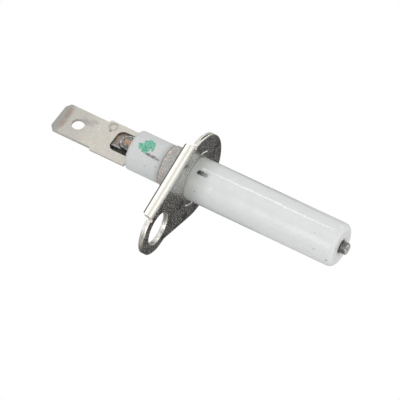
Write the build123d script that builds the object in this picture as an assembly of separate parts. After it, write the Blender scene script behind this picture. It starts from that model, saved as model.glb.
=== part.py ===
from build123d import *
import math
import os

# Ignition electrode for a small gas burner, in millimetres.
# X runs along the electrode from the push-on tab to the spark tip, Y across the tab, Z up,
# square to the tab. The origin is on the electrode's axis, in the front face of the flange.

cut_over = 1.0                # how far a cutting solid runs past what it cuts

# ---- ceramic insulator -------------------------------------------------------------------
front_radius = 3.0            # glazed barrel in front of the flange
front_length = 21.65          # flange face to the end of the barrel
front_end_round = 0.8
rear_radius = 2.75            # bare barrel behind the flange
rear_length = 9.4             # flange face to the rear end of the barrel
rear_end_round = 0.35
rod_bore_clearance = 0.1      # round the rod, each side
bore_mouth_chamfer = 0.15
cement_well_radius = 1.2      # wider rear end of the bore, which takes the cement
cement_well_depth = 6.0

# ---- electrode rod -----------------------------------------------------------------------
rod_radius = 0.8
rod_protrusion = 0.9          # bare spark tip in front of the barrel
rod_tip_round = 0.15
tip_dimple_radius = 0.45      # radius of the ball that marks the cropped end
tip_dimple_depth = 0.1
rod_tail = 0.75               # round part behind the barrel
paddle_radius = 1.15          # flattened and rounded rear end
paddle_thickness = 0.45
paddle_setback = 1.3          # barrel end to the middle of the paddle
paddle_offset = 0.6           # to +Y of the axis
neck_edge = 0.7               # +Y edge of the flattened neck between paddle and rod

# ---- flange, with its drawn collar and its turned lip ------------------------------------
sheet = 0.7                   # steel thickness
big_lobe_radius = 6.2         # round the barrel
small_lobe_radius = 3.7       # round the screw hole
screw_hole_distance = 9.45
screw_hole_radius = 2.35
lower_side_angle = 20.5       # degrees, plain side against the line of the two centres
edge_round = 0.1              # rolled front edge of the punched outline
lip_length = 11.0
lip_overrun = 0.3             # past the small lobe's tangent point
lip_depth = 1.3               # flange face to the end of the lip
lip_stand_out = 0.55          # past the tangent of the two lobes
lip_bend_inside = 0.2
lip_corner_round = 0.35
lip_corner_share = 0.9        # the most of the lip's straight part that a corner may take
relief_width = 0.35
relief_depth = 0.25
mouth_margin = 0.75           # front barrel to the rim of the drawn hole's rounded mouth
draw_ring = 0.5               # ring of the plate that is drawn with the mouth
collar_wall = 0.35
collar_clearance = 0.05       # round the rear barrel, each side
collar_back_round = 0.2
collar_length = 4.25          # flange face to the collar's rear rim
swage_start = 2.6             # where the collar starts to close in
swage_end = 3.6
rim_round = 0.12
crimp_jaws = 8
crimp_flat_depth = 0.05
crimp_flat_length = 0.95

# ---- groove of the ceramic under the swaged collar ---------------------------------------
groove_depth = 0.25
groove_end_gap = 0.05
seat_lead = 0.1               # behind the flange face, where the barrel starts to narrow
seat_drop = 0.03              # how much it has narrowed where it seats in the rounded mouth
seat_clearance = 0.005

# ---- tab terminal ------------------------------------------------------------------------
tab_width = 4.8               # standard 4.8 x 0.5 mm push-on tab
tab_thickness = 0.5
tab_length = 6.4
tab_corner_x = 0.55
tab_corner_y = 0.65
tab_lead_length = 0.9
tab_lead_depth = 0.13
tab_hole_radius = 0.88
tab_hole_from_tip = 3.05
terminal_sheet = 0.3
terminal_width = 5.6
terminal_length = 5.4         # shoulder to the end beside the barrel
terminal_top = -0.3           # height of its upper face
terminal_end_gap = 0.05
shoulder_round = 0.3
window_width = 3.4
window_offset = 0.32
window_length = 3.4
window_round = 0.9
weld_from_shoulder = 0.9
weld_offset = 1.94
weld_radius = 0.65
weld_sink = 0.06
weld_crown_radius = 0.3
weld_crown_foot = 0.48

# ---- strap under the terminal, folded double ---------------------------------------------
strap_thickness = 0.5         # each leaf
strap_edge = -0.5             # -Y edge of the upper leaf, seen in the terminal's window
strap_leaf_edge = -1.6        # -Y edge of the lower leaf, past the window's
strap_width = 3.0
strap_shoulder_gap = 0.15
strap_notch_clearance = 0.15

# ---- braze over the paddle ---------------------------------------------------------------
braze_cover = 0.1
braze_shoulder = 0.35         # paddle's edge back to where the bead starts to fall away
braze_bulge = 0.04            # past the paddle's edge at the height of its upper face
braze_foot = 0.15             # past the paddle's edge on the strap
braze_foot_slope = 0.35       # outward for each unit down

# ---- worked out from the sizes above -----------------------------------------------------
rod_bore_radius = rod_radius + rod_bore_clearance
collar_bore = rear_radius + collar_clearance
groove_radius = rear_radius - groove_depth
rim_outer = groove_radius + collar_wall
collar_rim = -collar_length
collar_outer = collar_bore + collar_wall
mouth_radius = front_radius + mouth_margin
draw_radius = mouth_radius - collar_bore
collar_root = mouth_radius + draw_ring
seat_radius = front_radius - seat_drop
side_slope = math.asin((big_lobe_radius - small_lobe_radius) / screw_hole_distance)
lip_from = -screw_hole_distance * math.cos(side_slope) - lip_overrun
lip_bend_outside = lip_bend_inside + sheet
lip_face = big_lobe_radius + lip_stand_out
lip_bend = lip_face - lip_bend_outside
lip_root = lip_bend - relief_depth
diagonal = math.sqrt(0.5)
terminal_bottom = terminal_top - terminal_sheet
terminal_end = -rear_length - terminal_end_gap
shoulder_x = terminal_end - terminal_length
tab_tip = shoulder_x - tab_length
rod_tip = front_length + rod_protrusion
rod_tail_end = -rear_length - rod_tail
paddle_x = -rear_length - paddle_setback
paddle_bottom = terminal_bottom
paddle_top = paddle_bottom + paddle_thickness


def turned(points):
    """A solid of revolution about X from (x, radius) points."""
    with BuildPart() as body:
        with BuildSketch(Plane.XY):
            with BuildLine():
                Polyline(*points, close=True)
            make_face()
        revolve(axis=Axis.X)
    return body.part


def x_cylinder(radius, x_from, x_to):
    """A cylinder on the electrode's axis."""
    return Location((x_from, 0, 0), (0, 90, 0)) * Cylinder(
        radius, x_to - x_from, align=(Align.CENTER, Align.CENTER, Align.MIN)
    )


def box_between(x_from, x_to, y_from, y_to, z_from, z_to):
    """A box given by its two opposite corners."""
    middle = Location(((x_from + x_to) / 2, (y_from + y_to) / 2, (z_from + z_to) / 2))
    return middle * Box(x_to - x_from, y_to - y_from, z_to - z_from)


def round_edges_at(part, x, radius, size):
    """Round the circular edges of one radius at one station of a turned part."""
    edges = [
        edge
        for edge in part.edges().filter_by(GeomType.CIRCLE)
        if abs(edge.center(CenterOf.BOUNDING_BOX).X - x) < 0.001 and abs(edge.radius - radius) < 0.001
    ]
    return part.fillet(size, edges)


def make_ceramic():
    """Glazed front barrel, seat shoulder, swage groove, bare rear barrel and stepped bore.

    The shoulder is a cone, tangent to the flange's rounded mouth where it seats.
    """
    across = mouth_radius - seat_radius
    along = math.sqrt(draw_radius**2 - across**2)
    seat_x = along - draw_radius + seat_clearance
    seat_foot = seat_x - (seat_radius - rear_radius) * across / along
    groove_end = -collar_length - groove_end_gap
    body = turned([
        (front_length, 0),
        (front_length, front_radius),
        (-seat_lead, front_radius),
        (seat_x, seat_radius),
        (seat_foot, rear_radius),
        (-swage_start, rear_radius),
        (-swage_end, groove_radius),
        (groove_end, groove_radius),
        (groove_end, rear_radius),
        (-rear_length, rear_radius),
        (-rear_length, 0),
    ])
    body = round_edges_at(body, front_length, front_radius, front_end_round)
    body = round_edges_at(body, -rear_length, rear_radius, rear_end_round)
    well_end = -rear_length + cement_well_depth
    bore = turned([
        (-rear_length - cut_over, 0),
        (-rear_length - cut_over, cement_well_radius),
        (well_end, cement_well_radius),
        (well_end, rod_bore_radius),
        (front_length - bore_mouth_chamfer, rod_bore_radius),
        (front_length, rod_bore_radius + bore_mouth_chamfer),
        (front_length + cut_over, rod_bore_radius + bore_mouth_chamfer),
        (front_length + cut_over, 0),
    ])
    return body - bore


def make_rod():
    """Round rod with a rounded spark tip, and a tail pressed flat into a round paddle."""
    rod = x_cylinder(rod_radius, rod_tail_end, rod_tip)
    rod = round_edges_at(rod, rod_tip, rod_radius, rod_tip_round)
    dimple_x = rod_tip + tip_dimple_radius - tip_dimple_depth
    rod = rod - Location((dimple_x, 0, 0)) * Sphere(tip_dimple_radius)
    paddle = Location((paddle_x, paddle_offset, paddle_bottom)) * Cylinder(
        paddle_radius, paddle_thickness, align=(Align.CENTER, Align.CENTER, Align.MIN)
    )
    neck = box_between(
        paddle_x, rod_tail_end + rod_tail / 2,
        paddle_offset - paddle_radius, neck_edge,
        paddle_bottom, paddle_top,
    )
    return rod + paddle + neck


def make_cement():
    """Sleeve of refractory cement that locks the rod in the rear of the bore."""
    well = x_cylinder(cement_well_radius, -rear_length, -rear_length + cement_well_depth)
    return well - x_cylinder(rod_radius, -rear_length - cut_over, cut_over)


def flange_outline():
    """Two lobes with a tangent side above and a steeper plain side below."""
    plain = math.radians(lower_side_angle)
    upper_normal = Vector(-math.sin(side_slope), math.cos(side_slope))
    lower_normal = Vector(-math.sin(plain), -math.cos(plain))
    hole_centre = Vector(-screw_hole_distance, 0)
    lower_reach = big_lobe_radius - lower_normal.dot(hole_centre)
    with BuildSketch(Plane.YZ) as outline:
        Circle(big_lobe_radius)
        with Locations((-screw_hole_distance, 0)):
            Circle(small_lobe_radius)
        with BuildLine():
            Polyline(
                (0, 0),
                upper_normal * big_lobe_radius,
                hole_centre + upper_normal * small_lobe_radius,
                hole_centre,
                hole_centre + lower_normal * lower_reach,
                lower_normal * big_lobe_radius,
                close=True,
            )
        make_face()
    return outline.sketch


def make_lip(along, outward):
    """The turned lip: a strip with one bend, drawn in section and run along the tangent side."""
    section = Plane(origin=along * (lip_from + lip_length), x_dir=outward, z_dir=-along)
    outer_middle = (
        lip_bend + lip_bend_outside * diagonal,
        lip_bend_outside * (1 - diagonal),
    )
    inner_middle = (
        lip_bend + lip_bend_inside * diagonal,
        lip_bend_outside - lip_bend_inside * diagonal,
    )
    with BuildPart() as lip:
        with BuildSketch(section):
            with BuildLine():
                Line((lip_root, 0), (lip_bend, 0))
                ThreePointArc((lip_bend, 0), outer_middle, (lip_face, lip_bend_outside))
                Polyline(
                    (lip_face, lip_bend_outside),
                    (lip_face, lip_depth),
                    (lip_face - sheet, lip_depth),
                    (lip_face - sheet, lip_bend_outside),
                )
                ThreePointArc((lip_face - sheet, lip_bend_outside), inner_middle, (lip_bend, sheet))
                Polyline((lip_bend, sheet), (lip_root, sheet), (lip_root, 0))
            make_face()
        extrude(amount=lip_length)
    rear_corners = [
        edge
        for edge in lip.part.edges().filter_by(GeomType.LINE)
        if abs(edge.length - sheet) < 0.001 and abs(edge.center().X + lip_depth) < 0.001
    ]
    straight = lip_depth - lip_bend_outside
    return lip.part.fillet(min(lip_corner_round, straight * lip_corner_share), rear_corners)


def make_collar():
    """Drawn collar with its rounded mouth, swaged in at the rear and marked by the jaws."""
    back = -sheet - collar_back_round
    mouth_middle = (-draw_radius * (1 - diagonal), mouth_radius - draw_radius * diagonal)
    back_middle = (
        back + collar_back_round * diagonal,
        collar_outer + collar_back_round * (1 - diagonal),
    )
    back_end = (-sheet, collar_outer + collar_back_round)
    with BuildPart() as collar:
        with BuildSketch(Plane.XY):
            with BuildLine():
                ThreePointArc((0, mouth_radius), mouth_middle, (-draw_radius, collar_bore))
                Polyline(
                    (-draw_radius, collar_bore),
                    (-swage_start, collar_bore),
                    (-swage_end, groove_radius),
                    (collar_rim, groove_radius),
                    (collar_rim, rim_outer - rim_round),
                    (collar_rim + rim_round, rim_outer),
                    (-swage_end, rim_outer),
                    (-swage_start, collar_outer),
                    (back, collar_outer),
                )
                ThreePointArc((back, collar_outer), back_middle, back_end)
                Polyline(back_end, (-sheet, collar_root), (0, collar_root), (0, mouth_radius))
            make_face()
        revolve(axis=Axis.X)
    squeezed = x_cylinder(2 * collar_outer, collar_rim - cut_over, collar_rim + crimp_flat_length)
    with BuildPart() as jaws:
        with BuildSketch(Plane.YZ.offset(collar_rim - 2 * cut_over)):
            RegularPolygon(rim_outer - crimp_flat_depth, crimp_jaws, major_radius=False)
        extrude(amount=crimp_flat_length + 3 * cut_over)
    return collar.part - (squeezed - jaws.part)


def make_flange():
    """Punched plate with two lobes, screw hole, turned lip and drawn collar."""
    with BuildPart() as plate:
        add(extrude(flange_outline(), amount=-sheet))
    front_rim = plate.part.faces().sort_by(Axis.X)[-1].outer_wire().edges()
    body = plate.part.fillet(edge_round, front_rim)
    along = Vector(0, math.cos(side_slope), math.sin(side_slope))
    outward = Vector(0, -math.sin(side_slope), math.cos(side_slope))
    side_frame = Plane(origin=(0, 0, 0), x_dir=along, z_dir=(1, 0, 0))
    cut_middle = lip_from + lip_length / 2
    notch = Location((cut_middle, lip_root + small_lobe_radius, -sheet / 2)) * Box(
        lip_length + 2 * relief_width, 2 * small_lobe_radius, sheet + 2 * cut_over
    )
    body = body - side_frame.location * notch
    body = body + make_lip(along, outward)
    body = body - x_cylinder(collar_root, -sheet - cut_over, cut_over)
    body = body + make_collar()
    hole = x_cylinder(screw_hole_radius, -sheet - cut_over, cut_over)
    return body - Location((0, -screw_hole_distance, 0)) * hole


def make_terminal():
    """Tab of double thickness and a wide end with a window, open towards the barrel."""
    half = tab_width / 2
    tab_under = terminal_top - tab_thickness
    with BuildPart() as tab:
        with BuildSketch(Plane.XY.offset(tab_under)):
            with BuildLine():
                Polyline(
                    (shoulder_x, half),
                    (tab_tip + tab_corner_x, half),
                    (tab_tip, half - tab_corner_y),
                    (tab_tip, -half + tab_corner_y),
                    (tab_tip + tab_corner_x, -half),
                    (shoulder_x, -half),
                    close=True,
                )
            make_face()
        extrude(amount=tab_thickness)
    lead = []
    for level, inward in ((terminal_top, -1), (tab_under, 1)):
        with BuildPart() as wedge:
            with BuildSketch(Plane.XZ.offset(-half - cut_over)):
                with BuildLine():
                    Polyline(
                        (tab_tip - cut_over, level - inward * cut_over),
                        (tab_tip + tab_lead_length, level - inward * cut_over),
                        (tab_tip + tab_lead_length, level),
                        (tab_tip, level + inward * tab_lead_depth),
                        (tab_tip - cut_over, level + inward * tab_lead_depth),
                        close=True,
                    )
                make_face()
            extrude(amount=tab_width + 2 * cut_over)
        lead.append(wedge.part)
    body = tab.part
    for wedge in lead:
        body = body - wedge
    hole_x = tab_tip + tab_hole_from_tip
    body = body - Location((hole_x, 0, tab_under)) * Cylinder(tab_hole_radius, tab_thickness + 2 * cut_over)
    with BuildPart() as wide:
        with BuildSketch(Plane.XY.offset(terminal_bottom)):
            with Locations(((shoulder_x + terminal_end) / 2, 0)):
                Rectangle(terminal_length, terminal_width)
            left = [v for v in vertices() if v.X < (shoulder_x + terminal_end) / 2]
            fillet(left, shoulder_round)
        extrude(amount=terminal_sheet)
    with BuildPart() as window:
        with BuildSketch(Plane.XY.offset(terminal_bottom - cut_over)):
            with Locations((terminal_end, window_offset)):
                Rectangle(2 * window_length, window_width)
            inner = [v for v in vertices() if v.X < terminal_end]
            fillet(inner, window_round)
        extrude(amount=terminal_sheet + 2 * cut_over)
    body = body + (wide.part - window.part)
    weld = Location((shoulder_x + weld_from_shoulder, weld_offset, terminal_top))
    crater = weld * Cylinder(weld_radius, 2 * weld_sink)
    crown = weld * Cone(weld_crown_foot, weld_crown_radius, 2 * weld_sink)
    return body - (crater - crown)


def make_strap():
    """Strap welded under the terminal: a notched leaf for the rod's paddle on a plain wide one."""
    strap_from = shoulder_x + strap_shoulder_gap
    leaf_bottom = terminal_bottom - strap_thickness
    upper_leaf = box_between(
        strap_from, terminal_end,
        strap_edge, strap_edge + strap_width,
        leaf_bottom, terminal_bottom,
    )
    lower_leaf = box_between(
        strap_from, terminal_end,
        strap_leaf_edge, strap_edge + strap_width,
        leaf_bottom - strap_thickness, leaf_bottom,
    )
    notch = box_between(
        rod_tail_end - strap_notch_clearance, 0,
        -rod_radius - strap_notch_clearance, rod_radius + strap_notch_clearance,
        leaf_bottom, terminal_bottom + cut_over,
    )
    return lower_leaf + (upper_leaf - notch)


def make_braze(rod):
    """Bead of braze over the rod's paddle, with a sloping foot on the strap."""
    foot = paddle_radius + braze_foot
    shoulder = paddle_radius - braze_shoulder
    crown = paddle_top + braze_cover
    with BuildPart() as bead:
        with BuildSketch(Plane.XZ):
            with BuildLine():
                Polyline((0, paddle_top), (0, crown), (shoulder, crown))
                Spline(
                    (shoulder, crown),
                    (paddle_radius + braze_bulge, paddle_top),
                    (foot, paddle_bottom),
                    tangents=((1, 0), (braze_foot_slope, -1)),
                )
                Polyline(
                    (foot, paddle_bottom),
                    (paddle_radius, paddle_bottom),
                    (paddle_radius, paddle_top),
                    (0, paddle_top),
                )
            make_face()
        revolve(axis=Axis.Z)
    placed = Location((paddle_x, paddle_offset, 0)) * bead.part
    on_strap = box_between(
        paddle_x - foot - cut_over, rod_tail_end - strap_notch_clearance,
        strap_edge, strap_edge + strap_width,
        paddle_bottom, crown + cut_over,
    )
    return (placed & on_strap) - rod


os.makedirs("parts", exist_ok=True)
electrode_rod = make_rod()
pieces = {
    "ceramic_insulator": make_ceramic(),
    "electrode_rod": electrode_rod,
    "bore_cement": make_cement(),
    "mounting_flange": make_flange(),
    "terminal_tab": make_terminal(),
    "terminal_strap": make_strap(),
    "rod_braze": make_braze(electrode_rod),
}
for name, piece in pieces.items():
    export_step(piece, f"parts/{name}.step")
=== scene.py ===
import math

import bmesh
import bpy
import numpy as np
from mathutils import Matrix, Vector


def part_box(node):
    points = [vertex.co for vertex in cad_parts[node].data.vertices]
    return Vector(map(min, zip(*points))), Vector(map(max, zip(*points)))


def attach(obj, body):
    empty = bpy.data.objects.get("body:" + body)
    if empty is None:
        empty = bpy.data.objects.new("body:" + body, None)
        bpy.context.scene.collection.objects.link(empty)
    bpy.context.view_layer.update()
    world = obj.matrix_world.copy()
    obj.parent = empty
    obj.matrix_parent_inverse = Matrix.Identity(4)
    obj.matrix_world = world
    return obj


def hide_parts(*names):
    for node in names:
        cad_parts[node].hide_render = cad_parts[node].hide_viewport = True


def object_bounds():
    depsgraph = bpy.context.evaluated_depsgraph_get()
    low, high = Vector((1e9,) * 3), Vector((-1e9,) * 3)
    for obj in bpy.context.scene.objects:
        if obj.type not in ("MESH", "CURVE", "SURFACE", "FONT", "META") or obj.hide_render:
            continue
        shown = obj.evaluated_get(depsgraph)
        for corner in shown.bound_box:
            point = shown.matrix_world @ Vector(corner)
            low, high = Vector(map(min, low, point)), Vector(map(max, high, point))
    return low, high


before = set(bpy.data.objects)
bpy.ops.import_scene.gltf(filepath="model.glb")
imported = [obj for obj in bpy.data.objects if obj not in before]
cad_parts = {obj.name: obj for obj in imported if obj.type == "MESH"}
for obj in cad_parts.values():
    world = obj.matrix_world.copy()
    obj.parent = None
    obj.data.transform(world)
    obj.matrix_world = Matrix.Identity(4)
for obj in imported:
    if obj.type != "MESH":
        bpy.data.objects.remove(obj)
cad_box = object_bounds()

# ---- view, light and floor ---------------------------------------------------------------
# A pale studio, in metres: softboxes overhead, in front, off the spark tip and behind, and a
# small strip high up at the back, which draws the thin bright line along the glaze.
aim = Vector((0.00148, -0.00168, -0.00170))
camera_distance = 0.50066
camera_azimuth = math.radians(-56.935)
camera_elevation = math.radians(52.519)
camera_roll = math.radians(-2.04)
lens_mm = 348.8

away = Vector((
    math.cos(camera_elevation) * math.cos(camera_azimuth),
    math.cos(camera_elevation) * math.sin(camera_azimuth),
    math.sin(camera_elevation),
))
level_right = Vector((0, 0, 1)).cross(away).normalized()
level_up = away.cross(level_right)
right = level_right * math.cos(camera_roll) + level_up * math.sin(camera_roll)
up = level_up * math.cos(camera_roll) - level_right * math.sin(camera_roll)


def frame_at(place, x_axis, y_axis, z_axis):
    """The matrix that puts an object at a place, with its three axes along these directions."""
    return Matrix((
        (x_axis.x, y_axis.x, z_axis.x, place[0]),
        (x_axis.y, y_axis.y, z_axis.y, place[1]),
        (x_axis.z, y_axis.z, z_axis.z, place[2]),
        (0, 0, 0, 1),
    ))


camera = bpy.data.objects.new("camera", bpy.data.cameras.new("camera"))
camera.data.lens = lens_mm
camera.data.sensor_width = 36
camera.data.clip_start = 0.01
camera.matrix_world = frame_at(aim + away * camera_distance, right, up, away)
bpy.context.scene.collection.objects.link(camera)
bpy.context.scene.camera = camera
bpy.context.scene.view_settings.view_transform = "Standard"


def area_light(name, place, size, power):
    """A rectangular softbox at a place, facing the electrode, with its first side along X."""
    data = bpy.data.lights.new(name, "AREA")
    data.shape = "RECTANGLE"
    data.size, data.size_y = size
    data.energy = power
    facing = Vector(place).normalized()
    upward = facing.cross(Vector((1, 0, 0))).normalized()
    lamp = bpy.data.objects.new(name, data)
    lamp.matrix_world = frame_at(place, upward.cross(facing), upward, facing)
    bpy.context.scene.collection.objects.link(lamp)


area_light("overhead_softbox", (-0.20, 0.0, 0.58), (0.56, 0.40), 0.25)
area_light("front_softbox", (0.05, -0.50, 0.34), (0.50, 0.30), 0.80)
area_light("end_softbox", (0.60, -0.05, 0.32), (0.40, 0.40), 0.25)
area_light("back_softbox", (0.12, 0.50, 0.22), (0.40, 0.30), 0.25)
area_light("strip", (-0.170, 0.25, 0.475), (0.038, 0.07), 0.050)

room_light = 0.82
studio = bpy.data.worlds.new("studio")
studio.use_nodes = True
studio.node_tree.nodes["Background"].inputs["Color"].default_value = (1.0, 1.0, 1.0, 1)
studio.node_tree.nodes["Background"].inputs["Strength"].default_value = room_light
bpy.context.scene.world = studio


def add_node(tree, kind, inputs=(), **settings):
    """A node with its settings, its inputs each linked to a socket or set to a value."""
    made = tree.nodes.new(kind)
    for key, value in settings.items():
        setattr(made, key, value)
    for key, value in dict(inputs).items():
        if isinstance(value, bpy.types.NodeSocket):
            tree.links.new(value, made.inputs[key])
        else:
            made.inputs[key].default_value = value
    return made


def maths(tree, operation, *values, clamp=False):
    """One operation on numbers."""
    made = add_node(tree, "ShaderNodeMath", enumerate(values), operation=operation, use_clamp=clamp)
    return made.outputs[0]


def axes(tree, vector):
    """The X, Y and Z of a vector, each under its own name."""
    return add_node(tree, "ShaderNodeSeparateXYZ", {0: vector}).outputs


def ramp(tree, value, start, stop, first=0.0, last=1.0):
    """A number that runs from first to last while another goes from start to stop."""
    return add_node(tree, "ShaderNodeMapRange", {
        "Value": value, "From Min": start, "From Max": stop, "To Min": first, "To Max": last,
    }).outputs[0]


def mesh_object(name, points, faces):
    """A smooth mesh object from points and faces, with the faces turned outwards."""
    corners = points[faces[:, :3]]
    volume = np.einsum("ij,ij->i", corners[:, 0], np.cross(corners[:, 1], corners[:, 2])).sum()
    if volume < 0:
        faces = faces[:, ::-1]
    mesh = bpy.data.meshes.new(name)
    mesh.from_pydata(points.tolist(), [], faces.tolist())
    mesh.polygons.foreach_set("use_smooth", np.ones(len(mesh.polygons), bool))
    made = bpy.data.objects.new(name, mesh)
    bpy.context.scene.collection.objects.link(made)
    return made


floor_half = 1.5
floor_level = cad_box[0][2] - 0.0002
floor_corners = np.array([(-1, -1, 0), (1, -1, 0), (1, 1, 0), (-1, 1, 0)]) * floor_half
floor = mesh_object("floor", floor_corners + (0, 0, floor_level), np.array([(0, 1, 2, 3)]))

# The camera sees the floor plain white. What shines in the metal is staged: mirrored rays find
# a dim band of floor under the flange and just in front of it, and a paler floor beyond.
band_middle = 0.0025
band_half = 0.0045
pale_from = 0.0080
band_glow = 0.094
pale_glow = 0.50
floor_paint = bpy.data.materials.new("floor_paint")
floor_paint.use_nodes = True
tree = floor_paint.node_tree
matt = tree.nodes["Principled BSDF"]
matt.inputs["Base Color"].default_value = (0.75, 0.76, 0.78, 1)
matt.inputs["Roughness"].default_value = 0.9
ray = add_node(tree, "ShaderNodeLightPath")
plain = add_node(tree, "ShaderNodeEmission", {"Color": (1, 1, 1, 1)})
floor_x = axes(tree, add_node(tree, "ShaderNodeTexCoord").outputs["Object"])["X"]
from_band = maths(tree, "ABSOLUTE", maths(tree, "SUBTRACT", floor_x, band_middle))
mirrored = add_node(tree, "ShaderNodeEmission", {
    "Color": (1.0, 0.97, 0.93, 1),
    "Strength": ramp(tree, from_band, band_half, pale_from, band_glow, pale_glow),
})
lit = add_node(tree, "ShaderNodeMixShader", {
    "Fac": ray.outputs["Is Glossy Ray"], 1: matt.outputs[0], 2: mirrored.outputs[0],
})
shown = add_node(tree, "ShaderNodeMixShader", {
    "Fac": ray.outputs["Is Camera Ray"], 1: lit.outputs[0], 2: plain.outputs[0],
})
tree.links.new(shown.outputs[0], tree.nodes["Material Output"].inputs["Surface"])
floor.data.materials.append(floor_paint)

# ---- ceramic insulator -------------------------------------------------------------------
# One turned and fired piece of white alumina porcelain: glazed in front of the flange, bare
# and matt behind it, with a dab of green inspection ink on the bare end.

# Sizes from here on are in millimetres, and X runs along the axis from the flange's front face.
mm = 0.001
ceramic_low, ceramic_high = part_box("ceramic_insulator")
front_end = ceramic_high.x / mm
rear_end = ceramic_low.x / mm
front_radius = ceramic_high.z / mm
front_round = 0.8
rear_radius = 2.75
rear_round = 0.35
rod_bore = 0.90
bore_chamfer = 0.15
cement_well = 1.2
cement_well_depth = 6.0
groove_radius = 2.5
groove_rear = -4.3
groove_front = -3.6
groove_run_out = -2.6
shoulder_foot = -0.72
seat_x = -0.40
seat_radius = front_radius - 0.03
shoulder_top = -0.1
past_round = 0.05
barrel_waviness = 0.012
barrel_turns = 160


def arc_points(centre, radius, start, stop, count):
    """Points of a round corner: centre + radius (cos, sin) from one angle to another."""
    angle = np.radians(np.linspace(start, stop, count))
    return np.stack([centre[0] + radius * np.cos(angle), centre[1] + radius * np.sin(angle)], 1)


def run_points(stops, step):
    """Points along straight runs between stops, no further apart than a step."""
    runs = []
    for first, last in zip(stops[:-1], stops[1:]):
        count = max(2, int(np.hypot(last[0] - first[0], last[1] - first[1]) / step) + 1)
        share = np.linspace(0, 1, count, endpoint=False)[:, None]
        runs.append(np.array(first) * (1 - share) + np.array(last) * share)
    return np.concatenate(runs)


def turned(name, profile, turns, waviness):
    """A profile of (x, radius) carried round the X axis: y = r cos a, z = r sin a.

    Waviness takes a little off the radius in three slow sine waves along and round the piece.
    """
    angle = np.linspace(0, 2 * np.pi, turns, endpoint=False)[None, :]
    x = profile[:, :1]
    wave = np.sin(0.8 * x + 2 * angle) + np.sin(1.7 * x - 3 * angle + 1) + np.sin(3.1 * x + angle)
    radius = profile[:, 1:] - waviness * (wave + 3) / 6
    grid = np.stack([x + 0 * angle, radius * np.cos(angle), radius * np.sin(angle)], 2)
    rows, around = np.arange(len(profile))[:, None], np.arange(turns)[None, :]
    next_row, next_turn = (rows + 1) % len(profile), (around + 1) % turns
    faces = np.stack([
        rows * turns + around, next_row * turns + around,
        next_row * turns + next_turn, rows * turns + next_turn,
    ], 2).reshape(-1, 4)
    return mesh_object(name, grid.reshape(-1, 3) * mm, faces)


insulator = turned("ceramic_insulator_glazed", np.concatenate([
    run_points([(rear_end, cement_well), (rear_end, rear_radius - rear_round)], 0.3),
    arc_points((rear_end + rear_round, rear_radius - rear_round), rear_round, 180, 90, 8),
    run_points([
        (rear_end + rear_round + past_round, rear_radius),
        (groove_rear, rear_radius),
        (groove_rear, groove_radius),
        (groove_front, groove_radius),
        (groove_run_out, rear_radius),
        (shoulder_foot, rear_radius),
        (seat_x, seat_radius),
        (shoulder_top, front_radius),
        (front_end - front_round, front_radius),
    ], 0.25),
    arc_points((front_end - front_round, front_radius - front_round), front_round, 90, 0, 14),
    run_points([
        (front_end, front_radius - front_round - past_round),
        (front_end, rod_bore + bore_chamfer),
        (front_end - bore_chamfer, rod_bore),
        (rear_end + cement_well_depth, rod_bore),
        (rear_end + cement_well_depth, cement_well),
        (rear_end, cement_well),
    ], 0.5),
]), barrel_turns, barrel_waviness)
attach(insulator, "root")
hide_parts("ceramic_insulator")


def new_group(name, inputs, output):
    """An empty shader group with its named inputs, and one named output value."""
    tree = bpy.data.node_groups.new(name, "ShaderNodeTree")
    for title, kind, value in inputs:
        tree.interface.new_socket(title, in_out="INPUT", socket_type=kind).default_value = value
    tree.interface.new_socket(output, in_out="OUTPUT", socket_type="NodeSocketFloat")
    return tree, tree.nodes.new("NodeGroupInput").outputs, tree.nodes.new("NodeGroupOutput").inputs


def vectors(tree, operation, *values):
    """One operation on vectors, which gives a vector or, for a length or a product, a number."""
    made = add_node(tree, "ShaderNodeVectorMath", enumerate(values), operation=operation)
    gives_number = operation in ("LENGTH", "DISTANCE", "DOT_PRODUCT")
    return made.outputs["Value" if gives_number else "Vector"]


# A patch on a surface: its mask is 1 inside an ellipsoid and falls to 0 at a ragged edge, which
# is where the distance from the centre, in half sizes, plus a little noise passes 1.
patch_group, given, result = new_group("ragged_patch", [
    ("Point", "NodeSocketVector", (0, 0, 0)),
    ("Centre", "NodeSocketVector", (0, 0, 0)),
    ("Half size", "NodeSocketVector", (1, 1, 1)),
    ("Raggedness", "NodeSocketFloat", 0.5),
    ("Grain", "NodeSocketFloat", 3.0),
    ("Softness", "NodeSocketFloat", 0.2),
], "Mask")
shift = vectors(patch_group, "SUBTRACT", given["Point"], given["Centre"])
reach = vectors(patch_group, "LENGTH", vectors(patch_group, "DIVIDE", shift, given["Half size"]))
ragged = add_node(patch_group, "ShaderNodeTexNoise", {
    "Vector": given["Point"], "Scale": given["Grain"], "Detail": 3.0,
})
centred = maths(patch_group, "SUBTRACT", ragged.outputs["Fac"], 0.5)
fade = add_node(patch_group, "ShaderNodeMapRange", {
    "Value": maths(patch_group, "MULTIPLY_ADD", centred, given["Raggedness"], reach),
    "From Min": maths(patch_group, "SUBTRACT", 1.0, given["Softness"]),
    "From Max": maths(patch_group, "ADD", 1.0, given["Softness"]),
    "To Min": 1.0, "To Max": 0.0,
}, interpolation_type="SMOOTHSTEP")
patch_group.links.new(fade.outputs[0], result["Mask"])

# Mottling: a cloud with a given number of grains to a millimetre. It is 0 where the cloud is
# under the low level and 1 where it is over the high one.
mottle_group, given, result = new_group("mottle", [
    ("Point", "NodeSocketVector", (0, 0, 0)),
    ("Scale", "NodeSocketFloat", 1.0),
    ("Low", "NodeSocketFloat", 0.35),
    ("High", "NodeSocketFloat", 0.65),
], "Value")
cloud = add_node(mottle_group, "ShaderNodeTexNoise", {
    "Vector": given["Point"], "Scale": given["Scale"], "Detail": 4.0, "Roughness": 0.6,
})
spread = ramp(mottle_group, cloud.outputs["Fac"], given["Low"], given["High"])
mottle_group.links.new(spread, result["Value"])


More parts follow.
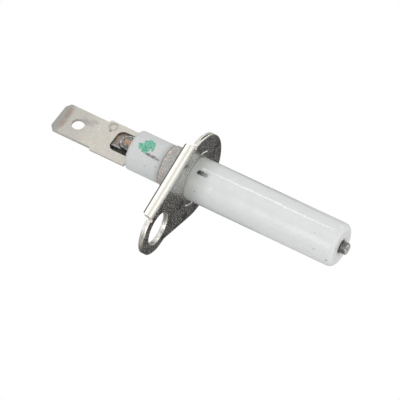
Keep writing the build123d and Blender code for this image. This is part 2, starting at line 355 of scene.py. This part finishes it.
def new_material(name):
    """A material, its tree, its shader, and a point on the piece in millimetres."""
    material = bpy.data.materials.new(name)
    material.use_nodes = True
    tree = material.node_tree
    place = add_node(tree, "ShaderNodeTexCoord").outputs["Object"]
    point = vectors(tree, "MULTIPLY", place, (1 / mm, 1 / mm, 1 / mm))
    return material, tree, tree.nodes["Principled BSDF"], point


def patch(tree, point, centre, half_size, raggedness=0.5, grain=3.0, softness=0.2):
    """The mask of a ragged patch."""
    return add_node(tree, "ShaderNodeGroup", {
        "Point": point, "Centre": centre, "Half size": half_size,
        "Raggedness": raggedness, "Grain": grain, "Softness": softness,
    }, node_tree=patch_group).outputs["Mask"]


def mottle(tree, point, scale, low=0.35, high=0.65):
    """The strength of a mottling with this many grains to a millimetre."""
    return add_node(tree, "ShaderNodeGroup", {
        "Point": point, "Scale": scale, "Low": low, "High": high,
    }, node_tree=mottle_group).outputs["Value"]


def combined(tree, operation, *masks):
    """Masks put together by one operation, kept between 0 and 1."""
    whole = masks[0]
    for mask in masks[1:]:
        whole = maths(tree, operation, whole, mask, clamp=True)
    return whole


def blended(tree, mask, under, over):
    """A colour laid over another through a mask, each a socket or its red, green and blue."""
    under, over = (
        colour if isinstance(colour, bpy.types.NodeSocket) else (*colour, 1)
        for colour in (under, over)
    )
    return add_node(tree, "ShaderNodeMix", {0: mask, 6: under, 7: over}, data_type="RGBA").outputs[2]


def mixed(tree, mask, under, over):
    """A number that goes from one value to another with a mask."""
    return add_node(tree, "ShaderNodeMix", {0: mask, 2: under, 3: over}).outputs[0]


def bumped(tree, shader, height, depth):
    """Relief of a depth in millimetres on the shader's normal."""
    relief = add_node(tree, "ShaderNodeBump", {"Height": height, "Distance": depth * mm, "Strength": 1.0})
    tree.links.new(relief.outputs[0], shader.inputs["Normal"])


flange_shade_zone = 0.8, 3.0
lit_end_face_zone = front_end - 0.45, front_end - 0.05
darker_rear_end = -8.9, -9.3
darker_by_collar = -5.1, -4.4
glaze_tones = (0.665, 0.690, 0.685), (0.700, 0.718, 0.705)
flange_shade_tones = (0.490, 0.510, 0.490), (0.520, 0.530, 0.505)
painted_end_light_tone = (0.800, 0.812, 0.800)
bare_tones = (0.590, 0.610, 0.615), (0.650, 0.660, 0.655)
darker_bare_tone = (0.470, 0.480, 0.475)
ink_tones = (0.045, 0.285, 0.175), (0.215, 0.560, 0.415)
dash_tone = (0.028, 0.028, 0.028)
glaze_roughness = 0.07, 0.13
bare_roughness = 0.62
ink_roughness = 0.45

porcelain, tree, shader, point = new_material("glazed_porcelain")
along = axes(tree, point)["X"]
glazed = ramp(tree, along, shoulder_top - 0.15, shoulder_top)
cloudy = mottle(tree, point, 0.6)
# Near the flange the glaze is painted darker and greyer: painted shade from the flange.
glaze = blended(
    tree, ramp(tree, along, *flange_shade_zone),
    blended(tree, cloudy, *flange_shade_tones), blended(tree, cloudy, *glaze_tones),
)
# The front end face is painted lighter than the barrel: painted light.
glaze = blended(tree, ramp(tree, along, *lit_end_face_zone), glaze, painted_end_light_tone)
# The bare ceramic is darker towards its rear end and towards the collar.
darker_bare = combined(
    tree, "ADD", ramp(tree, along, *darker_rear_end, 0.0, 0.6), ramp(tree, along, *darker_by_collar),
)
bare = blended(tree, darker_bare, blended(tree, mottle(tree, point, 5.0), *bare_tones), darker_bare_tone)
colour = blended(tree, glazed, bare, glaze)

# The ink dab is a few overlapping patches with two splashes: centre and half size of each.
ink_dabs = [
    ((-6.95, -0.10, 2.75), (0.78, 0.76, 0.80)),
    ((-7.20, -0.75, 2.65), (0.66, 0.54, 0.60)),
    ((-7.85, -0.78, 2.64), (0.46, 0.42, 0.44)),
    ((-7.12, -1.15, 2.50), (0.40, 0.36, 0.40)),
    ((-6.35, -0.45, 2.71), (0.26, 0.22, 0.30)),
    ((-6.23, -0.76, 2.64), (0.15, 0.15, 0.20)),
    ((-4.87, -2.20, 1.65), (0.11, 0.10, 0.10)),
    ((-5.95, -2.75, -0.04), (0.11, 0.10, 0.10)),
]
ink = combined(tree, "MAXIMUM", *[
    patch(tree, point, centre, half_size, raggedness=1.5, grain=3.6, softness=0.14)
    for centre, half_size in ink_dabs
])
colour = blended(tree, ink, colour, blended(tree, mottle(tree, point, 3.2, 0.36, 0.60), *ink_tones))

# Three grey scuffs beside the ink, then specks here and there: centre, half size, tone,
# raggedness and softness of each.
marks = [
    ((-6.40, -1.36, 2.39), (0.42, 0.17, 0.17), (0.170, 0.155, 0.150), 2.2, 0.40),
    ((-5.75, -1.42, 2.36), (0.50, 0.21, 0.21), (0.210, 0.195, 0.185), 2.6, 0.40),
    ((-5.15, -1.46, 2.33), (0.40, 0.16, 0.16), (0.300, 0.290, 0.280), 2.6, 0.50),
    ((-6.39, -2.47, 1.21), (0.10, 0.10, 0.10), (0.380, 0.370, 0.390), 0.6, 0.40),
    ((2.98, -2.03, 2.21), (0.10, 0.09, 0.09), (0.720, 0.590, 0.330), 0.6, 0.50),
    ((1.37, -2.74, 1.23), (0.09, 0.08, 0.08), (0.240, 0.230, 0.220), 0.6, 0.50),
    ((19.13, -2.81, 1.04), (0.09, 0.08, 0.08), (0.260, 0.250, 0.260), 0.6, 0.50),
    ((18.56, -1.53, 2.58), (0.07, 0.06, 0.06), (0.420, 0.400, 0.380), 0.6, 0.50),
    ((21.05, -2.97, 0.10), (0.16, 0.12, 0.14), (0.330, 0.320, 0.320), 0.8, 0.50),
]
for centre, half_size, tone, raggedness, softness in marks:
    mark = patch(tree, point, centre, half_size, raggedness, 5.0, softness)
    colour = blended(tree, mark, colour, tone)

# A dark dash on the glaze just in front of the flange, which fades towards the spark tip.
dash_y, dash_z = -0.84, 2.88
dash_marks = [(0.98, 0.28, 0.32), (1.35, 0.46, 0.33), (1.85, 0.50, 0.31)]
dash = combined(tree, "MAXIMUM", *[
    patch(tree, point, (x, dash_y, dash_z), (half_x, half_y, 0.36), 0.6, 3.0, 0.25)
    for x, half_x, half_y in dash_marks
])
dash = combined(tree, "MULTIPLY", dash, ramp(tree, along, 1.1, 2.4, 1.0, 0.35))
colour = blended(tree, dash, colour, dash_tone)
tree.links.new(colour, shader.inputs["Base Color"])
rough = mixed(tree, glazed, bare_roughness, ramp(tree, cloudy, 0.0, 1.0, *glaze_roughness))
tree.links.new(mixed(tree, ink, rough, ink_roughness), shader.inputs["Roughness"])
bumped(tree, shader, mixed(tree, glazed, mottle(tree, point, 9.0), cloudy), 0.012)
insulator.data.materials.append(porcelain)

# ---- electrode rod -----------------------------------------------------------------------
# Drawn wire of dark heat-resisting alloy, cropped at the spark tip, where its rim is rounded,
# and pressed flat at its rear end. It slides into the ceramic and is cemented there.
merge_distance = 0.0005
flat_angle = math.radians(0.5)
edge_angle = math.radians(28)


def soft_edged(node, name, edge_round):
    """A copy of a CAD node with its double points merged and its sharp edges rolled."""
    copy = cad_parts[node].data.copy()
    shape = bmesh.new()
    shape.from_mesh(copy)
    bmesh.ops.remove_doubles(shape, verts=shape.verts, dist=merge_distance * mm)
    bmesh.ops.dissolve_limit(
        shape, angle_limit=flat_angle, verts=shape.verts, edges=shape.edges, delimit={"NORMAL"},
    )
    shape.to_mesh(copy)
    shape.free()
    copy.materials.clear()
    copy.polygons.foreach_set("use_smooth", np.ones(len(copy.polygons), bool))
    made = bpy.data.objects.new(name, copy)
    bpy.context.scene.collection.objects.link(made)
    rolled = made.modifiers.new("rolled_edges", "BEVEL")
    rolled.width = edge_round * mm
    rolled.segments = 3
    rolled.limit_method = "ANGLE"
    rolled.angle_limit = edge_angle
    rolled.harden_normals = True
    levelled = made.modifiers.new("level_faces", "WEIGHTED_NORMAL")
    levelled.mode = "FACE_AREA"
    levelled.weight = 80
    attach(made, "root")
    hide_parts(node)
    return made


rod = soft_edged("electrode_rod", "electrode_rod_drawn", 0.04)
rod_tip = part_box("electrode_rod")[1].x / mm
alloy_tones = (0.12, 0.115, 0.11), (0.27, 0.265, 0.25)
rust_tone = (0.30, 0.13, 0.06)
crop_tones = (0.20, 0.20, 0.19), (0.74, 0.73, 0.70)
crop_metallic = 0.35
alloy_roughness = 0.24, 0.42

dark_alloy, tree, shader, point = new_material("dark_drawn_alloy")
lines = mottle(tree, vectors(tree, "MULTIPLY", point, (0.25, 1.0, 1.0)), 7.0)
rust = patch(tree, point, (rod_tip + 0.05, 0.35, -0.45), (0.35, 0.35, 0.35), 1.4, 4.0, 0.4)
colour = blended(tree, rust, blended(tree, lines, *alloy_tones), rust_tone)
cropped = ramp(tree, axes(tree, point)["X"], rod_tip - 0.16, rod_tip - 0.05)
crop_colour = blended(tree, mottle(tree, point, 4.5, 0.42, 0.58), *crop_tones)
colour = blended(tree, cropped, colour, crop_colour)
tree.links.new(colour, shader.inputs["Base Color"])
tree.links.new(ramp(tree, cropped, 0.0, 1.0, 1.0, crop_metallic), shader.inputs["Metallic"])
tree.links.new(ramp(tree, lines, 0.0, 1.0, *alloy_roughness), shader.inputs["Roughness"])
bumped(tree, shader, lines, 0.012)
rod.data.materials.append(dark_alloy)

# ---- cement ------------------------------------------------------------------------------
# Refractory cement, poured round the rod into the well at the rear of the bore. Once it is
# fired it is hard and sandy, and it locks the rod in the ceramic.
cement_tones = (0.44, 0.40, 0.33), (0.62, 0.58, 0.50)
cement_roughness = 0.75, 0.95

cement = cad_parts["bore_cement"]
fired_cement, tree, shader, point = new_material("fired_cement")
sandy = mottle(tree, point, 6.0)
tree.links.new(blended(tree, sandy, *cement_tones), shader.inputs["Base Color"])
tree.links.new(ramp(tree, sandy, 0.0, 1.0, *cement_roughness), shader.inputs["Roughness"])
bumped(tree, shader, sandy, 0.05)
cement.data.materials.clear()
cement.data.materials.append(fired_cement)

# ---- mounting flange ---------------------------------------------------------------------
# One steel pressing, punched, drawn and bright nickel-plated: two lobes, a screw hole, a lip
# turned to the rear, and a collar that is swaged into the groove of the ceramic.
plate_back = -0.7
collar_foot = 3.45
mouth_rim = 3.75
lip_slope = math.radians(15.3)
lip_bend = 5.85
lip_face = 6.75
lip_rear = -1.3
plate_tones = (0.89, 0.865, 0.80), (0.95, 0.925, 0.86)
face_reflection_and_vein_tones = (0.45, 0.445, 0.43), (0.97, 0.955, 0.92)
torn_tone = (0.55, 0.54, 0.51)
streak_tone = (0.06, 0.06, 0.058)
lip_edge_shade_tone = (0.10, 0.10, 0.095)
collar_tones = (0.33, 0.33, 0.315), (0.58, 0.575, 0.55)
copper_tone = (0.74, 0.54, 0.46)
painted_highlight_tone = (0.95, 0.97, 1.0)
vein_dullness = 0.18
highlight_dullness = 0.95
collar_metallic = 0.25
plate_roughness = 0.17, 0.23
collar_roughness = 0.60
crest_height = 18.0


def band(tree, value, rise, fall):
    """A mask that rises over one range of a value and falls again over another."""
    return combined(tree, "MULTIPLY", ramp(tree, value, *rise), ramp(tree, value, *fall, 1.0, 0.0))


def facing_of(tree):
    """The way the surface faces, as X, Y and Z on the piece."""
    return axes(tree, add_node(tree, "ShaderNodeTexCoord").outputs["Normal"])


flange = soft_edged("mounting_flange", "mounting_flange_pressed", 0.06)
bright_nickel, tree, shader, point = new_material("bright_nickel")
along = axes(tree, point)["X"]
radius = vectors(tree, "LENGTH", vectors(tree, "MULTIPLY", point, (0, 1, 1)))
collar = combined(
    tree, "MULTIPLY", ramp(tree, radius, collar_foot + 0.20, collar_foot),
    ramp(tree, along, plate_back - 0.02, plate_back - 0.15),
)

# Two finenesses of plating: a fine pebble all over, and on the front face paler veins in it. The front
# face's darker base colour is a painted dark reflection.
pebble = mottle(tree, point, 6.5, 0.40, 0.62)
front_face = ramp(tree, along, -0.08, -0.02)
veined = combined(
    tree, "MULTIPLY", mottle(tree, point, 4.6, 0.49, 0.55), mottle(tree, point, 0.5, 0.36, 0.48),
    front_face,
)
colour = blended(
    tree, front_face, blended(tree, pebble, *plate_tones), blended(tree, veined, *face_reflection_and_vein_tones),
)

# The punched edge is torn grey behind its rolled front rim, but not on the lip. It has a dark
# streak on the big lobe, and along the lip's rear corner a dark line is painted: painted shadow
# and dark reflection of that edge. The height above the axis is measured square to the lip.
lip_height = vectors(tree, "DOT_PRODUCT", point, (0, -math.sin(lip_slope), math.cos(lip_slope)))
on_wall = ramp(tree, maths(tree, "ABSOLUTE", facing_of(tree)["X"]), 0.8, 0.4)
drawn_out = vectors(tree, "MULTIPLY", point, (6.0, 0.7, 0.7))
torn = combined(
    tree, "MULTIPLY", mottle(tree, drawn_out, 1.0, 0.46, 0.60),
    ramp(tree, lip_height, lip_bend + 0.10, lip_bend + 0.20, 1.0, 0.0),
    ramp(tree, radius, 3.9, 4.2), on_wall, ramp(tree, along, -0.10, -0.16),
)
colour = blended(tree, torn, colour, torn_tone)
streak = patch(tree, point, (-0.27, 2.85, 5.50), (0.13, 1.25, 1.25), 0.5, 1.5, 0.3)
colour = blended(tree, combined(tree, "MULTIPLY", streak, on_wall), colour, streak_tone)
lip_edge_shade = combined(
    tree, "MULTIPLY", ramp(tree, lip_height, lip_face - 0.23, lip_face - 0.15),
    ramp(tree, along, lip_rear + 0.20, lip_rear + 0.13),
)
colour = blended(tree, lip_edge_shade, colour, lip_edge_shade_tone)

# The collar is dull and grainy from swaging, with copper showing at its rim.
speckle = mottle(tree, point, 4.0, 0.38, 0.66)
copper_fleck = combined(
    tree, "MULTIPLY", ramp(tree, along, -3.6, -3.95), mottle(tree, point, 2.6, 0.52, 0.60),
)
collar_colour = blended(tree, copper_fleck, blended(tree, speckle, *collar_tones), copper_tone)
colour = blended(tree, collar, colour, collar_colour)

# Two bright arcs on the rim of the drawn mouth, where the plate is crested, are painted highlights: near
# white and hardly metallic.
mouth_highlight = combined(
    tree, "MAXIMUM",
    patch(tree, point, (0.0, 2.05, 3.15), (0.3, 0.95, 0.75), 0.4, 3.0, 0.3),
    patch(tree, point, (0.0, -2.15, -3.05), (0.3, 1.05, 1.15), 0.4, 3.0, 0.3),
)
mouth_highlight_ring = band(
    tree, radius, (mouth_rim - 0.09, mouth_rim - 0.01), (mouth_rim + 0.13, mouth_rim + 0.23),
)
mouth_highlight = combined(tree, "MULTIPLY", mouth_highlight, front_face, mouth_highlight_ring)
tree.links.new(blended(tree, mouth_highlight, colour, painted_highlight_tone), shader.inputs["Base Color"])
metal = maths(tree, "MULTIPLY_ADD", veined, -vein_dullness, 1.0)
metal = maths(tree, "MULTIPLY_ADD", mouth_highlight, -highlight_dullness, metal)
tree.links.new(mixed(tree, collar, metal, collar_metallic), shader.inputs["Metallic"])
rough = mixed(tree, collar, ramp(tree, pebble, 0.0, 1.0, *plate_roughness), collar_roughness)
tree.links.new(rough, shader.inputs["Roughness"])
crest = band(
    tree, radius, (mouth_rim - 0.15, mouth_rim - 0.01), (mouth_rim + 0.01, mouth_rim + 0.15),
)
crest = combined(tree, "MULTIPLY", crest, front_face)
grain = mixed(tree, collar, pebble, speckle)
bumped(tree, shader, maths(tree, "MULTIPLY_ADD", crest, crest_height, grain), 0.005)
flange.data.materials.append(bright_nickel)

# ---- strap -------------------------------------------------------------------------------
# Flat steel strap, folded double and spot-welded under the terminal. The rod's paddle lies in
# the notch of its upper leaf, where the heat of the brazing has tinted the steel brown.
strap_tones = (0.10, 0.10, 0.095), (0.34, 0.335, 0.32)
heat_tones = (0.22, 0.18, 0.15), (0.40, 0.33, 0.275)
paler_side_tones = (0.26, 0.255, 0.24), (0.56, 0.55, 0.53)
gap_shade_tones = (0.05, 0.048, 0.046), (0.14, 0.135, 0.13)
strap_roughness = 0.30, 0.50

strap = soft_edged("terminal_strap", "terminal_strap_tinted", 0.05)
tinted_steel, tree, shader, point = new_material("heat_tinted_steel")
shader.inputs["Metallic"].default_value = 1.0
place = axes(tree, point)
scale = mottle(tree, point, 4.0)
heat = patch(tree, point, (-12.2, 1.2, -0.6), (0.9, 1.3, 0.4), 0.6, 2.0, 0.6)
colour = blended(
    tree, heat, blended(tree, scale, *strap_tones), blended(tree, scale, *heat_tones),
)
# The strap is paler towards its -Y side.
paler_side = ramp(tree, place["Y"], -0.15, -0.32, 0.0, 0.8)
colour = blended(tree, paler_side, colour, blended(tree, scale, *paler_side_tones))
# The upward faces of the lower leaf, deep under the window, are painted near black: painted shade in the
# gap.
gap_shade = combined(
    tree, "MULTIPLY", ramp(tree, facing_of(tree)["Z"], 0.5, 0.8), ramp(tree, place["Z"], -0.9, -1.0),
)
colour = blended(tree, gap_shade, colour, blended(tree, scale, *gap_shade_tones))
tree.links.new(colour, shader.inputs["Base Color"])
tree.links.new(ramp(tree, scale, 0.0, 1.0, *strap_roughness), shader.inputs["Roughness"])
bumped(tree, shader, scale, 0.015)
strap.data.materials.append(tinted_steel)

# ---- terminal ----------------------------------------------------------------------------
# Stamped and folded push-on tab of matt nickel-plated steel, with a detent hole, one spot
# weld that holds the strap, and a window over the brazed joint.
terminal_top = -0.3
tab_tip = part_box("terminal_tab")[0].x / mm
window_from = -12.85
window_offset = 0.32
window_half = 1.7
tip_darkening_zone = -15.6, -17.6
lead_zone = tab_tip + 1.55, tab_tip + 0.85
weld_centre = (-13.95, 1.94, terminal_top)
nickel_tones = (0.565, 0.555, 0.495), (0.735, 0.710, 0.640)
warm_tone = (0.72, 0.56, 0.50)
cool_tone = (0.50, 0.54, 0.53)
tip_darkening_tones = (0.47, 0.46, 0.42), (0.56, 0.55, 0.50)
lead_tone = (0.36, 0.36, 0.34)
weld_tone = (0.36, 0.35, 0.335)
pit_tone = (0.22, 0.21, 0.20)
sheared_tone = (0.52, 0.505, 0.47)
window_wall_shade_tone = (0.20, 0.195, 0.18)
sheared_metallic = 0.35
nickel_roughness = 0.42, 0.55

terminal = soft_edged("terminal_tab", "terminal_tab_stamped", 0.10)
matt_nickel, tree, shader, point = new_material("matt_nickel")
place = axes(tree, point)
fine = mottle(tree, point, 4.5)
warm = mottle(tree, point, 2.2, 0.50, 0.64)
colour = blended(tree, fine, *nickel_tones)
colour = blended(tree, combined(tree, "MULTIPLY", warm, 0.5), colour, warm_tone)
# The tab is darker towards its tip.
tip_darkening = ramp(tree, place["X"], *tip_darkening_zone, 0.0, 0.62)
colour = blended(tree, tip_darkening, colour, blended(tree, fine, *tip_darkening_tones))
cool = mottle(tree, vectors(tree, "ADD", point, (7.0, 3.0, 0.0)), 3.0, 0.52, 0.64)
colour = blended(tree, combined(tree, "MULTIPLY", cool, 0.5), colour, cool_tone)
lead = ramp(tree, place["X"], *lead_zone, 0.0, 0.70)
colour = blended(tree, lead, colour, lead_tone)

# Stains where a connector has been pushed on and where the tab was handled: place along and
# across the tab, half size and tone of each.
stain_strength = 0.55
stain_half_height = 0.6
stains = [
    ((-20.15, 0.10), (0.50, 1.75), (0.42, 0.36, 0.32)),
    ((-20.30, 1.15), (0.36, 0.70), (0.40, 0.29, 0.25)),
    ((-20.10, -0.95), (0.36, 0.75), (0.42, 0.31, 0.26)),
    ((-20.22, 0.35), (0.24, 0.36), (0.25, 0.26, 0.26)),
    ((-17.75, 0.80), (0.55, 0.60), (0.40, 0.39, 0.365)),
    ((-17.10, 0.85), (0.70, 0.40), (0.40, 0.39, 0.365)),
    ((-16.45, 1.45), (0.50, 0.28), (0.42, 0.41, 0.39)),
]
for centre, half_size, tone in stains:
    stain = patch(
        tree, point, (*centre, terminal_top), (*half_size, stain_half_height), 1.2, 2.5, 0.45,
    )
    colour = blended(tree, combined(tree, "MULTIPLY", stain, stain_strength), colour, tone)

# The weld's grey ring, and a pit beside it.
weld_ring = band(tree, vectors(tree, "DISTANCE", point, weld_centre), (0.28, 0.42), (0.60, 0.78))
colour = blended(tree, combined(tree, "MULTIPLY", weld_ring, 0.40), colour, weld_tone)
pit = patch(tree, point, (-13.98, 1.20, terminal_top), (0.18, 0.16, 0.4), 0.8, 4.0, 0.4)
colour = blended(tree, pit, colour, pit_tone)

# Sheared edges are duller than the faces. Inside the window they are painted darkest: painted shade in
# the recess.
sheared = ramp(tree, maths(tree, "ABSOLUTE", facing_of(tree)["Z"]), 0.75, 0.35)
from_window = maths(tree, "ABSOLUTE", maths(tree, "ADD", place["Y"], -window_offset))
window_wall_shade = combined(
    tree, "MULTIPLY", ramp(tree, place["X"], window_from - 0.45, window_from - 0.25),
    ramp(tree, from_window, window_half + 0.08, window_half + 0.20, 1.0, 0.0),
)
colour = blended(tree, sheared, colour, blended(tree, window_wall_shade, sheared_tone, window_wall_shade_tone))
tree.links.new(colour, shader.inputs["Base Color"])
tree.links.new(ramp(tree, sheared, 0.0, 1.0, 1.0, sheared_metallic), shader.inputs["Metallic"])
tree.links.new(ramp(tree, fine, 0.0, 1.0, *nickel_roughness), shader.inputs["Roughness"])
bumped(tree, shader, fine, 0.006)
terminal.data.materials.append(matt_nickel)

# ---- braze -------------------------------------------------------------------------------
# Copper braze that has flowed over the rod's paddle and frozen there in a lumpy bead with a
# bright silvery rim. It joins the rod to the strap.
bead_centre = (-10.7, 0.6, 0.0)
bead_tones = (0.07, 0.075, 0.08), (0.30, 0.30, 0.30)
rim_tone = (0.94, 0.97, 1.0)
copper_tones = (0.05, 0.04, 0.035), (0.56, 0.37, 0.25)
bead_roughness = 0.22, 0.45

braze = soft_edged("rod_braze", "rod_braze_bead", 0.02)
copper_braze, tree, shader, point = new_material("copper_braze")
shader.inputs["Metallic"].default_value = 1.0
lumps = mottle(tree, point, 3.0, 0.38, 0.62)
from_middle = vectors(tree, "DISTANCE", vectors(tree, "MULTIPLY", point, (1, 1, 0)), bead_centre)
silver_rim = combined(
    tree, "MULTIPLY", band(tree, from_middle, (0.98, 1.06), (1.16, 1.22)),
    mottle(tree, point, 2.4, 0.40, 0.52), ramp(tree, axes(tree, point)["Y"], -0.35, 0.15, 0.25, 1.0),
)
colour = blended(tree, silver_rim, blended(tree, lumps, *bead_tones), rim_tone)
copper_patch = patch(tree, point, (-10.85, 0.55, -0.1), (0.62, 0.58, 0.6), 1.6, 3.0, 0.2)
copper = blended(tree, mottle(tree, point, 4.5, 0.40, 0.52), *copper_tones)
colour = blended(tree, copper_patch, colour, copper)
tree.links.new(colour, shader.inputs["Base Color"])
tree.links.new(ramp(tree, lumps, 0.0, 1.0, *bead_roughness), shader.inputs["Roughness"])
bumped(tree, shader, lumps, 0.05)
braze.data.materials.append(copper_braze)
